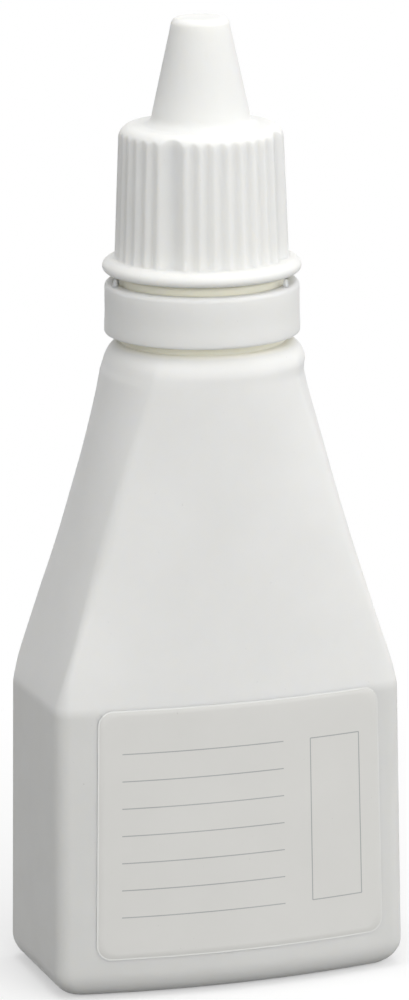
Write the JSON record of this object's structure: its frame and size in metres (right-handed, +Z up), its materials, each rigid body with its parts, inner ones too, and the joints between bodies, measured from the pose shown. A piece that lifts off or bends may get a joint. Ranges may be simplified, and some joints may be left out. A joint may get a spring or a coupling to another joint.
{
  "type": "scalp lotion bottle",
  "caption": "Flat white squeeze bottle with a tapering shoulder, bowed label face, dropper insert, fluted screw cap with a conical nose, and a tamper ring.",
  "frame": {"origin": "centre of the bounding box at the base, under the neck's axis, where the bottle stands", "axes": "+Z up along the neck's axis, -Y towards the label face, +X to the right seen from the label face"},
  "size_m": [0.0442, 0.0258, 0.116],
  "materials": {
    "bottle_white": "satin white polyethylene",
    "insert_natural": "natural soft polyethylene",
    "ring_white": "satin white polypropylene",
    "cap_white": "satin white polypropylene",
    "label_film": "pale self-adhesive film"
  },
  "bodies": {
    "bottle": {"bottle_body": "bottle_white", "dropper_insert": "insert_natural", "label": "label_film"},
    "ring": {"tamper_evident_ring": "ring_white"},
    "cap": {"screw_cap": "cap_white"}
  },
  "joints": [
    {"name": "cap_turn", "type": "hinge", "parent": "bottle", "child": "ring", "pos_m": [0, 0, 0.0815], "axis": [0, 0, 1], "range_deg": [0, 720]},
    {"name": "cap_rise", "type": "slide", "parent": "ring", "child": "cap", "axis": [0, 0, 1], "range_m": [0, 0.006]}
  ],
  "couplings": [
    {"joint": "cap_rise", "follows": "cap_turn", "m_per_rad": 0.00047746}
  ]
}
